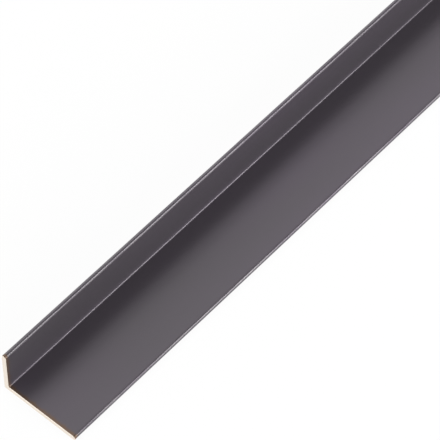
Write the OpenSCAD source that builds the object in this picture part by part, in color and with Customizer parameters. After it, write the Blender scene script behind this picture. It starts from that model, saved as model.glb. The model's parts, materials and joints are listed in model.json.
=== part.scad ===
// Unequal-leg aluminium angle, extruded in one piece and sawn square to stock length.
// The wide leg lies flat and the short leg stands up along its back edge.
// The length runs along X, the width along Y and the height along Z, in millimetres.
// The origin is on the floor, in the middle of the bar's footprint.

/* [Legs] */
// Outside width of the wide leg, from the heel to its toe
wide_leg = 25; // [12:0.5:80]
// Outside height of the short leg, from the heel to its toe
short_leg = 15; // [8:0.5:80]
// Wall thickness of the wide leg
wide_wall = 1.5; // [1.2:0.1:4]
// Wall thickness of the short leg
short_wall = 1.5; // [1.2:0.1:4]

/* [Corners] */
// Fillet radius in the inside corner, where the legs meet
root_fillet = 0.5; // [0.2:0.1:2]
// Radius of the outside corner, the heel
heel_radius = 0.5; // [0.2:0.1:1]
// Radius of the two long edges of each toe
toe_radius = 0.7; // [0.1:0.1:1]

/* [Stock] */
// Length that the bar is sawn to
bar_length = 1000; // [50:10:3000]

/* [Hidden] */
// Facets of a full circle in the drawn arcs
$fn = 64;
// How far a corner piece runs past the faces that it blends
overlap = 0.05;
// The radius drawn at the toes: the two rounds of a toe always leave a flat between them
toe_round = min(toe_radius, 0.48 * min(wide_wall, short_wall));

// What lies between a square corner at the origin and the arc that rounds it, in the quadrant +X +Y.
// Added in an inside corner it is the fillet, and cut from an outside corner it rounds the edge.
module corner_piece(radius) {
    difference() {
        translate([-overlap, -overlap])
            square(radius + overlap);
        translate([radius, radius])
            circle(radius);
    }
}

// A corner piece at a point of the section, turned so that its arc faces the given quadrant.
module corner_piece_at(point, turn, radius) {
    translate(point)
        rotate(turn)
            corner_piece(radius);
}

// The extrusion's section, with the heel's sharp corner at the origin, the wide leg along +X
// and the short leg along +Y.
module section() {
    difference() {
        union() {
            square([wide_leg, wide_wall]);
            square([short_wall, short_leg]);
            corner_piece_at([short_wall, wide_wall], 0, root_fillet);
        }
        corner_piece_at([0, 0], 0, heel_radius);
        corner_piece_at([wide_leg, 0], 90, toe_round);
        corner_piece_at([wide_leg, wide_wall], 180, toe_round);
        corner_piece_at([short_wall, short_leg], 180, toe_round);
        corner_piece_at([0, short_leg], 270, toe_round);
    }
}

// The bar: the section drawn out along X, with the heel along the back edge at +Y.
module angle_profile() {
    color("#5f5b60")
        translate([0, wide_leg / 2, 0])
            rotate([90, 0, -90])
                linear_extrude(height = bar_length, center = true)
                    section();
}

angle_profile();
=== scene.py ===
"""Looks of a dark anodised aluminium angle: a bar with a wide and a short leg, sawn square at both ends."""

import json
import math
from collections import namedtuple

import bpy
from mathutils import Matrix, Vector


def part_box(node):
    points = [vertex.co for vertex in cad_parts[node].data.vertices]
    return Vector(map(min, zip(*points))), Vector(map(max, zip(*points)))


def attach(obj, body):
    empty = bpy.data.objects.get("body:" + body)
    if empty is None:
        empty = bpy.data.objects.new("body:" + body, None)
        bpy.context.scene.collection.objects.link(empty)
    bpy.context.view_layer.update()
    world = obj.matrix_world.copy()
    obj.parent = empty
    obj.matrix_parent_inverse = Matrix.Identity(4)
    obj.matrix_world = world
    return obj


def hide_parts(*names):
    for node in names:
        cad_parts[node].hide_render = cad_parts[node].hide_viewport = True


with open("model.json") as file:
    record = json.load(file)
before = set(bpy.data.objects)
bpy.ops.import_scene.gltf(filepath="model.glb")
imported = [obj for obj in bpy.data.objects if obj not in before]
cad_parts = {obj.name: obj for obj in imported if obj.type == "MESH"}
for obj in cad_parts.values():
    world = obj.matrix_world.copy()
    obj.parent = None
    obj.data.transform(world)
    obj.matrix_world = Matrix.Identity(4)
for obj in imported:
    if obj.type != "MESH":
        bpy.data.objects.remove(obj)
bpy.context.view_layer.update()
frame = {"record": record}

# The section. Lengths are in metres, apart from the camera's lens and sensor.
NODE = "angle_profile"
LOW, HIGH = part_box(NODE)
MOUNTS = {mount["name"]: Vector(mount["pos_m"]) for mount in frame["record"]["mounts"]}
WIDE_WALL_TOP = MOUNTS["ledge"].z
INNER_WALL_Y = MOUNTS["inner_wall"].y
ROOT_FILLET = 0.0005
HEEL_RADIUS = 0.0005
TOE_RADIUS = 0.0007
ARC_STEPS = 8

# The sawn ends, by their side along X: the break along their rims, and the zone beside them
NEAR_END = -1
FAR_END = 1
BURR_BREAK = 0.00008
END_ZONE = 0.004

# The map for baked textures: a long strip for each half of the bar, and the two ends above them.
# The zone beside an end gets more than its share of the strip, so that the brown edge stays sharp.
# The ends have a scale in map widths per metre, and a border for their rims.
MAP_NAME = "OFBake"
STRIP_HEIGHT = 0.38
STRIP_GAP = 0.02
END_ZONE_SHARE = 0.1
CAP_COLUMNS = {NEAR_END: 0.25, FAR_END: 0.75}
CAP_SCALE = 10.0
CAP_RIM = 0.0003

# The bar's material slots
COATED = 0
SAWN = 1

# The coating: dark grey anodising, its colour, gloss and die lines
COATING_DEEP = (0.108, 0.098, 0.110, 1.0)
COATING_PALE = (0.118, 0.102, 0.123, 1.0)
COATING_METALLIC = 0.57
COATING_ROUGHNESS = (0.32, 0.37)
DIE_LINE_DEPTH = 0.000004
DIE_LINE_STRENGTH = 0.2
# Where it is worn: rubbed lighter in spots along the rounded edges, thin and brown beside the sawn ends.
# Rubbing lowers the roughness's limit from the ceiling to the rubbed roughness.
WEAR_NAME = "edge_wear"
RUBBED = (0.26, 0.25, 0.25, 1.0)
RUBBED_SHARE = 0.35
RUBBED_ROUGHNESS = 0.28
ROUGHNESS_CEILING = 0.5
ARRIS_BROWN = (0.152, 0.097, 0.064, 1.0)
ARRIS_WIDTH = 0.0015
ARRIS_RAGGED = 0.0003
# Its noises: a scale for each axis, per metre, and the detail. The spans are the noise values that count.
DIE_LINES = ((1.5, 3000.0, 3000.0), 2.0)
CLOUDS = ((12.0, 60.0, 60.0), 1.0)
SCUFFS = ((90.0, 1500.0, 1500.0), 3.0)
RAGGED_EDGE = ((250.0, 900.0, 900.0), 2.0)
NOISE_SPAN = (0.3, 0.7)
SCUFF_SPAN = (0.42, 0.66)

# The bare metal of the sawn ends, with arcs around the saw blade's centre, below and in front of the bar
SAWN_DEEP = (0.87, 0.78, 0.68, 1.0)
SAWN_PALE = (0.94, 0.855, 0.755, 1.0)
SAWN_METALLIC = 1.0
SAWN_ROUGHNESS = (0.36, 0.46)
BLADE_CENTRE = Vector((0.0, -0.02, -0.11))
SAW_ARC_SCALE = 1000.0
SAW_ARC_DISTORTION = 2.0
SAW_ARC_DETAIL = 2.0
SAW_ARC_DEPTH = 0.00001
SAW_ARC_STRENGTH = 0.3

# The view
CAMERA_AZIMUTH = math.radians(311.033)
CAMERA_ELEVATION = math.radians(53.759)
CAMERA_ROLL = math.radians(0.193)
CAMERA_DISTANCE = 0.799
CAMERA_TARGET = Vector((LOW.x + 0.077659, 0.005854, 0.0))
CAMERA_LENS_MM = 240.76
SENSOR_MM = 36.0

# The studio
WHITE = (1.0, 1.0, 1.0, 1.0)
FLOOR_SIZE = 40.0
FLOOR_GLOW = 0.94
FLOOR_COLOUR = (0.96, 0.96, 0.96, 1.0)
# The light tent's level by a direction's lean: -1 is the front horizon, 0 overhead and 1 the back horizon
TENT_LEVELS = [
    (-1.0, 1.0),
    (-0.82, 1.0),
    (-0.5, 0.2),
    (0.18, 0.2),
    (0.62, 1.95),
    (0.88, 1.95),
    (1.0, 1.0),
]
ACROSS_THE_BAR = (0.0, 1.0, 1.0)
STRIP_BOX_PLACE = Vector((0.57, -1.0, 0.58))
STRIP_BOX_SIZE = (0.4, 0.6)
STRIP_BOX_RADIANCE = 8.5
FILL_BOX_PLACE = Vector((0.5, -1.5, 0.35))
FILL_BOX_SIZE = (2.0, 0.5)
FILL_BOX_RADIANCE = 5.0

# The colour sockets of a Mix node, by number because its other sockets have the same names
MIX_FIRST = 6
MIX_SECOND = 7
MIX_RESULT = 2

# A point of the section's outline in (y, z), its outward normal, and how exposed it is to wear
Spot = namedtuple("Spot", "place normal wear")
# A cross cut of the bar: its x, how far the outline is drawn in, and its place along a strip of the map
Ring = namedtuple("Ring", "x inset strip_u")
# A face of the bar: its vertices' numbers, its material slot, its corners' normals and places on the map
Face = namedtuple("Face", "corners slot normals places")

# The cross cuts, from the near end to the far one. The outermost ones aren't on the strips.
RINGS = [
    Ring(LOW.x, BURR_BREAK, None),
    Ring(LOW.x + BURR_BREAK, 0.0, 0.0),
    Ring(LOW.x + END_ZONE, 0.0, END_ZONE_SHARE),
    Ring((LOW.x + HIGH.x) / 2, 0.0, 1.0),
    Ring(HIGH.x - END_ZONE, 0.0, END_ZONE_SHARE),
    Ring(HIGH.x - BURR_BREAK, 0.0, 0.0),
    Ring(HIGH.x, BURR_BREAK, None),
]
MIDDLE_RING = len(RINGS) // 2
LAST_RING = len(RINGS) - 1


def corner(point, way_in, way_out, radius):
    """The arc that rounds a corner of the section, as spots. An outside arc wears most in its middle."""
    point, way_in, way_out = Vector(point), Vector(way_in), Vector(way_out)
    centre = point + radius * (way_out - way_in)
    convex = way_in.cross(way_out) > 0
    arc = []
    for step in range(ARC_STEPS + 1):
        angle = math.pi / 2 * step / ARC_STEPS
        ray = math.sin(angle) * way_in - math.cos(angle) * way_out
        if convex:
            arc.append(Spot(centre + radius * ray, ray, math.sin(2 * angle)))
        else:
            arc.append(Spot(centre + radius * ray, -ray, 0.0))
    return arc


def section_outline():
    """The section's outline as spots, anticlockwise seen from +X."""
    left, right, down, up = (-1, 0), (1, 0), (0, -1), (0, 1)
    return [
        *corner((LOW.y, LOW.z), down, right, TOE_RADIUS),
        *corner((HIGH.y, LOW.z), right, up, HEEL_RADIUS),
        *corner((HIGH.y, HIGH.z), up, left, TOE_RADIUS),
        *corner((INNER_WALL_Y, HIGH.z), left, down, TOE_RADIUS),
        *corner((INNER_WALL_Y, WIDE_WALL_TOP), down, left, ROOT_FILLET),
        *corner((LOW.y, WIDE_WALL_TOP), left, down, TOE_RADIUS),
    ]


def strip_places(outline):
    """How far round the outline each point is, from 0 to 1, with the first point again at the end."""
    points = [spot.place for spot in outline]
    places = [0.0]
    for here, there in zip(points, points[1:] + points[:1]):
        places.append(places[-1] + (there - here).length)
    return [place / places[-1] for place in places]


def drawn_in(spot, inset):
    """Where a spot lies, in (y, z), when the outline is drawn in by the inset."""
    return spot.place - inset * spot.normal


def cap_place(end, point):
    """Where a point of a sawn end, in (y, z), lies on the map."""
    middle_y = (LOW.y + HIGH.y) / 2
    base_v = 2 * (STRIP_HEIGHT + STRIP_GAP) + STRIP_GAP
    u = CAP_COLUMNS[end] + CAP_SCALE * (point.x - middle_y)
    v = base_v + CAP_SCALE * (point.y - LOW.z)
    return u, v


def coated_face(outline, around, quad):
    """A face of the coated sides, on the strip of its half of the bar."""
    count = len(outline)
    first_ring, _ = quad[0]
    base_v = 0.0 if first_ring < MIDDLE_RING else STRIP_HEIGHT + STRIP_GAP
    corners = [ring * count + step % count for ring, step in quad]
    normals = [Vector((0.0, *outline[step % count].normal)) for _, step in quad]
    places = [(RINGS[ring].strip_u, base_v + STRIP_HEIGHT * around[step]) for ring, step in quad]
    return Face(corners, COATED, normals, places)


def rim_face(outline, end, quad):
    """A face of the break along a sawn end's rim. On the map it is widened to a border around the end."""
    count = len(outline)
    corners = [ring * count + step % count for ring, step in quad]
    normals = []
    places = []
    for ring, step in quad:
        spot = outline[step % count]
        border = 0.0 if RINGS[ring].inset else CAP_RIM
        normals.append(Vector((end, *spot.normal)).normalized())
        places.append(cap_place(end, drawn_in(spot, BURR_BREAK - border)))
    return Face(corners, SAWN, normals, places)


def cap_face(outline, end, ring):
    """The flat of a sawn end."""
    count = len(outline)
    order = range(count) if end == FAR_END else range(count - 1, -1, -1)
    corners = [ring * count + number for number in order]
    normals = [Vector((end, 0.0, 0.0))] * count
    places = [cap_place(end, drawn_in(outline[number], BURR_BREAK)) for number in order]
    return Face(corners, SAWN, normals, places)


def bar_faces(outline):
    """All faces of the bar: between neighbouring rings, and the flats of the two ends."""
    around = strip_places(outline)
    faces = []
    for ring in range(LAST_RING):
        for step in range(len(outline)):
            quad = [(ring, step), (ring, step + 1), (ring + 1, step + 1), (ring + 1, step)]
            if ring == 0:
                faces.append(rim_face(outline, NEAR_END, quad))
            elif ring == LAST_RING - 1:
                faces.append(rim_face(outline, FAR_END, quad))
            else:
                faces.append(coated_face(outline, around, quad))
    faces.append(cap_face(outline, NEAR_END, 0))
    faces.append(cap_face(outline, FAR_END, LAST_RING))
    return faces


def build_bar():
    """The bar as one closed mesh, with its arcs' true normals and the map for baked textures."""
    outline = section_outline()
    faces = bar_faces(outline)
    vertices = [(ring.x, *drawn_in(spot, ring.inset)) for ring in RINGS for spot in outline]
    mesh = bpy.data.meshes.new("angle_bar")
    mesh.from_pydata(vertices, [], [face.corners for face in faces])
    mesh.polygons.foreach_set("material_index", [face.slot for face in faces])
    mesh.polygons.foreach_set("use_smooth", [True] * len(faces))
    layer = mesh.uv_layers.new(name=MAP_NAME)
    layer.data.foreach_set("uv", [value for face in faces for place in face.places for value in place])
    worn = mesh.attributes.new(WEAR_NAME, "FLOAT", "POINT")
    worn.data.foreach_set("value", [spot.wear for _ in RINGS for spot in outline])
    mesh.normals_split_custom_set([tuple(normal) for face in faces for normal in face.normals])
    mesh.update()
    bar = bpy.data.objects.new("angle_bar", mesh)
    bpy.context.scene.collection.objects.link(bar)
    return bar


def new_material(name):
    """A material with its node tree and its Principled shader."""
    material = bpy.data.materials.new(name)
    material.use_nodes = True
    tree = material.node_tree
    return material, tree, tree.nodes["Principled BSDF"]


def feed(tree, socket, value):
    """Links an input to the given socket, or sets it to the given value."""
    if isinstance(value, bpy.types.NodeSocket):
        tree.links.new(value, socket)
    else:
        socket.default_value = value


def add_node(tree, kind, settings=None, **inputs):
    """A node of this kind, with its settings and its inputs: a socket to link from, or a value."""
    node = tree.nodes.new(kind)
    for name, value in (settings or {}).items():
        setattr(node, name, value)
    for name, value in inputs.items():
        feed(tree, node.inputs[name.replace("_", " ")], value)
    return node


def stretched_noise(tree, scale, detail):
    """Noise over the part's own coordinates, with a scale for each axis."""
    place = add_node(tree, "ShaderNodeTexCoord").outputs["Object"]
    mapped = add_node(tree, "ShaderNodeMapping", Vector=place, Scale=scale).outputs["Vector"]
    return add_node(tree, "ShaderNodeTexNoise", Vector=mapped, Scale=1.0, Detail=detail).outputs["Fac"]


def ranged(tree, value, low, high, start=0.0, end=1.0, way="LINEAR"):
    """The value, mapped from start and end to low and high."""
    node = add_node(
        tree,
        "ShaderNodeMapRange",
        {"interpolation_type": way},
        Value=value,
        From_Min=start,
        From_Max=end,
        To_Min=low,
        To_Max=high,
    )
    return node.outputs["Result"]


def blend(tree, share, first, second):
    """The first colour at a share of 0, and the second at 1. Each is a socket or a value."""
    node = add_node(tree, "ShaderNodeMix", {"data_type": "RGBA"}, Factor=share)
    feed(tree, node.inputs[MIX_FIRST], first)
    feed(tree, node.inputs[MIX_SECOND], second)
    return node.outputs[MIX_RESULT]


def calculated(tree, operation, first, second=0.0):
    """The result of a Math node. Each operand is a socket or a value."""
    node = add_node(tree, "ShaderNodeMath", {"operation": operation})
    feed(tree, node.inputs[0], first)
    feed(tree, node.inputs[1], second)
    return node.outputs["Value"]


def rubbed_share(tree):
    """How far the coating is rubbed off: in spots, where the section is exposed to wear."""
    exposed = add_node(tree, "ShaderNodeAttribute", {"attribute_name": WEAR_NAME}).outputs["Fac"]
    spots = ranged(tree, stretched_noise(tree, *SCUFFS), 0.0, RUBBED_SHARE, *SCUFF_SPAN)
    return calculated(tree, "MULTIPLY", exposed, spots)


def thinned_share(tree):
    """How far the coating is thinned: fully at the sawn ends, with a ragged edge on the inner side."""
    place = add_node(tree, "ShaderNodeTexCoord").outputs["Object"]
    along = add_node(tree, "ShaderNodeSeparateXYZ", Vector=place).outputs["X"]
    from_middle = calculated(tree, "ABSOLUTE", along)
    ragged = ranged(tree, stretched_noise(tree, *RAGGED_EDGE), -ARRIS_RAGGED, ARRIS_RAGGED, *NOISE_SPAN)
    reach = calculated(tree, "ADD", from_middle, ragged)
    return ranged(tree, reach, 0.0, 1.0, HIGH.x - ARRIS_WIDTH, HIGH.x - ARRIS_RAGGED, "SMOOTHSTEP")


def anodised_coating():
    """Dark grey anodising, satin, with faint lines left along the bar by the die, and worn at its edges."""
    material, tree, shader = new_material("anodised_coating")
    die_lines = stretched_noise(tree, *DIE_LINES)
    clouds = stretched_noise(tree, *CLOUDS)
    rubbed = rubbed_share(tree)
    tone = blend(tree, ranged(tree, clouds, 0.0, 1.0, *NOISE_SPAN), COATING_DEEP, COATING_PALE)
    tone = blend(tree, rubbed, tone, RUBBED)
    tone = blend(tree, thinned_share(tree), tone, ARRIS_BROWN)
    roughness = ranged(tree, die_lines, *COATING_ROUGHNESS, *NOISE_SPAN)
    limit = ranged(tree, rubbed, ROUGHNESS_CEILING, RUBBED_ROUGHNESS, 0.0, RUBBED_SHARE)
    bump = add_node(
        tree, "ShaderNodeBump", Height=die_lines, Strength=DIE_LINE_STRENGTH, Distance=DIE_LINE_DEPTH
    )
    feed(tree, shader.inputs["Base Color"], tone)
    feed(tree, shader.inputs["Metallic"], COATING_METALLIC)
    feed(tree, shader.inputs["Roughness"], calculated(tree, "MINIMUM", roughness, limit))
    feed(tree, shader.inputs["Normal"], bump.outputs["Normal"])
    return material


def sawn_metal():
    """Bare aluminium with the arcs that a saw blade leaves."""
    material, tree, shader = new_material("sawn_metal")
    place = add_node(tree, "ShaderNodeTexCoord").outputs["Object"]
    from_blade = add_node(tree, "ShaderNodeMapping", Vector=place, Location=-BLADE_CENTRE).outputs["Vector"]
    arcs = add_node(
        tree,
        "ShaderNodeTexWave",
        {"wave_type": "RINGS", "rings_direction": "X"},
        Vector=from_blade,
        Scale=SAW_ARC_SCALE,
        Distortion=SAW_ARC_DISTORTION,
        Detail=SAW_ARC_DETAIL,
    ).outputs["Fac"]
    bump = add_node(tree, "ShaderNodeBump", Height=arcs, Strength=SAW_ARC_STRENGTH, Distance=SAW_ARC_DEPTH)
    feed(tree, shader.inputs["Base Color"], blend(tree, arcs, SAWN_DEEP, SAWN_PALE))
    feed(tree, shader.inputs["Metallic"], SAWN_METALLIC)
    feed(tree, shader.inputs["Roughness"], ranged(tree, arcs, *SAWN_ROUGHNESS))
    feed(tree, shader.inputs["Normal"], bump.outputs["Normal"])
    return material


def seen_directly(tree, share):
    """The share for camera, glossy and transmission rays, and 0 for the rest."""
    path = add_node(tree, "ShaderNodeLightPath").outputs
    seen = path["Is Camera Ray"]
    for name in ("Is Glossy Ray", "Is Transmission Ray"):
        seen = calculated(tree, "MAXIMUM", seen, path[name])
    return calculated(tree, "MULTIPLY", seen, share)


def make_floor():
    """A wide white floor that keeps a soft shadow of the bar."""
    half = FLOOR_SIZE / 2
    mesh = bpy.data.meshes.new("floor")
    corners = [(-half, -half, 0.0), (half, -half, 0.0), (half, half, 0.0), (-half, half, 0.0)]
    mesh.from_pydata(corners, [], [(0, 1, 2, 3)])
    floor = bpy.data.objects.new("floor", mesh)
    bpy.context.scene.collection.objects.link(floor)
    material, tree, shader = new_material("floor")
    tree.nodes.remove(shader)
    paper = add_node(tree, "ShaderNodeBsdfDiffuse", Color=FLOOR_COLOUR).outputs["BSDF"]
    glow = add_node(tree, "ShaderNodeEmission", Color=WHITE, Strength=1.0).outputs["Emission"]
    mix = add_node(tree, "ShaderNodeMixShader", Fac=seen_directly(tree, FLOOR_GLOW))
    feed(tree, mix.inputs[1], paper)
    feed(tree, mix.inputs[2], glow)
    feed(tree, tree.nodes["Material Output"].inputs["Surface"], mix.outputs["Shader"])
    mesh.materials.append(material)


def make_tent():
    """A light tent along the bar, whose level changes with a direction's lean to the front or the back."""
    world = bpy.data.worlds.new("light_tent")
    bpy.context.scene.world = world
    world.use_nodes = True
    tree = world.node_tree
    background = tree.nodes["Background"]
    way = add_node(tree, "ShaderNodeTexCoord").outputs["Generated"]
    across = add_node(tree, "ShaderNodeVectorMath", {"operation": "MULTIPLY"})
    feed(tree, across.inputs[0], way)
    feed(tree, across.inputs[1], ACROSS_THE_BAR)
    turned = add_node(tree, "ShaderNodeVectorMath", {"operation": "NORMALIZE"})
    feed(tree, turned.inputs[0], across.outputs["Vector"])
    lean = add_node(tree, "ShaderNodeSeparateXYZ", Vector=turned.outputs["Vector"]).outputs["Y"]
    ramp = add_node(tree, "ShaderNodeValToRGB", Fac=ranged(tree, lean, 0.0, 1.0, -1.0, 1.0))
    ramp.color_ramp.interpolation = "EASE"
    brightest = max(level for _, level in TENT_LEVELS)
    stops = ramp.color_ramp.elements
    for stop_lean, _ in TENT_LEVELS[1:-1]:
        stops.new((stop_lean + 1.0) / 2.0)
    for stop, (_, level) in zip(stops, TENT_LEVELS):
        shade = level / brightest
        stop.color = (shade, shade, shade, 1.0)
    feed(tree, background.inputs["Color"], ramp.outputs["Color"])
    feed(tree, background.inputs["Strength"], brightest)


def add_softbox(name, place, size, radiance, mirrored):
    """A softbox that faces the bar's line, at a place given from the middle of the view."""
    width, height = size
    lamp = bpy.data.lights.new(name, "AREA")
    lamp.shape = "RECTANGLE"
    lamp.size = width
    lamp.size_y = height
    lamp.energy = radiance * math.pi * width * height
    softbox = bpy.data.objects.new(name, lamp)
    bpy.context.scene.collection.objects.link(softbox)
    softbox.location = CAMERA_TARGET + place
    softbox.rotation_euler = Vector((0.0, place.y, place.z)).to_track_quat("Z", "Y").to_euler()
    softbox.visible_camera = False
    softbox.visible_glossy = mirrored


def make_light():
    """The light tent, a strip box in front for the edges' gleam, and a low fill that leaves no gleam."""
    make_tent()
    add_softbox("strip_box", STRIP_BOX_PLACE, STRIP_BOX_SIZE, STRIP_BOX_RADIANCE, mirrored=True)
    add_softbox("fill_box", FILL_BOX_PLACE, FILL_BOX_SIZE, FILL_BOX_RADIANCE, mirrored=False)


def make_camera():
    """The camera, looking down along the inner side of the bar at its near end."""
    level = math.cos(CAMERA_ELEVATION)
    back = Vector(
        (
            math.sin(CAMERA_AZIMUTH) * level,
            -math.cos(CAMERA_AZIMUTH) * level,
            math.sin(CAMERA_ELEVATION),
        )
    )
    right = Vector((math.cos(CAMERA_AZIMUTH), math.sin(CAMERA_AZIMUTH), 0.0))
    up = back.cross(right)
    turned_right = math.cos(CAMERA_ROLL) * right + math.sin(CAMERA_ROLL) * up
    turned_up = math.cos(CAMERA_ROLL) * up - math.sin(CAMERA_ROLL) * right
    data = bpy.data.cameras.new("camera")
    data.lens = CAMERA_LENS_MM
    data.sensor_width = SENSOR_MM
    camera = bpy.data.objects.new("camera", data)
    bpy.context.scene.collection.objects.link(camera)
    axes = Matrix((turned_right, turned_up, back)).transposed().to_4x4()
    camera.matrix_world = Matrix.Translation(CAMERA_TARGET + CAMERA_DISTANCE * back) @ axes
    bpy.context.scene.camera = camera


bar = build_bar()
bar.data.materials.append(anodised_coating())
bar.data.materials.append(sawn_metal())
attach(bar, "root")
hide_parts(NODE)

make_floor()
make_light()
make_camera()
bpy.context.scene.view_settings.view_transform = "Standard"
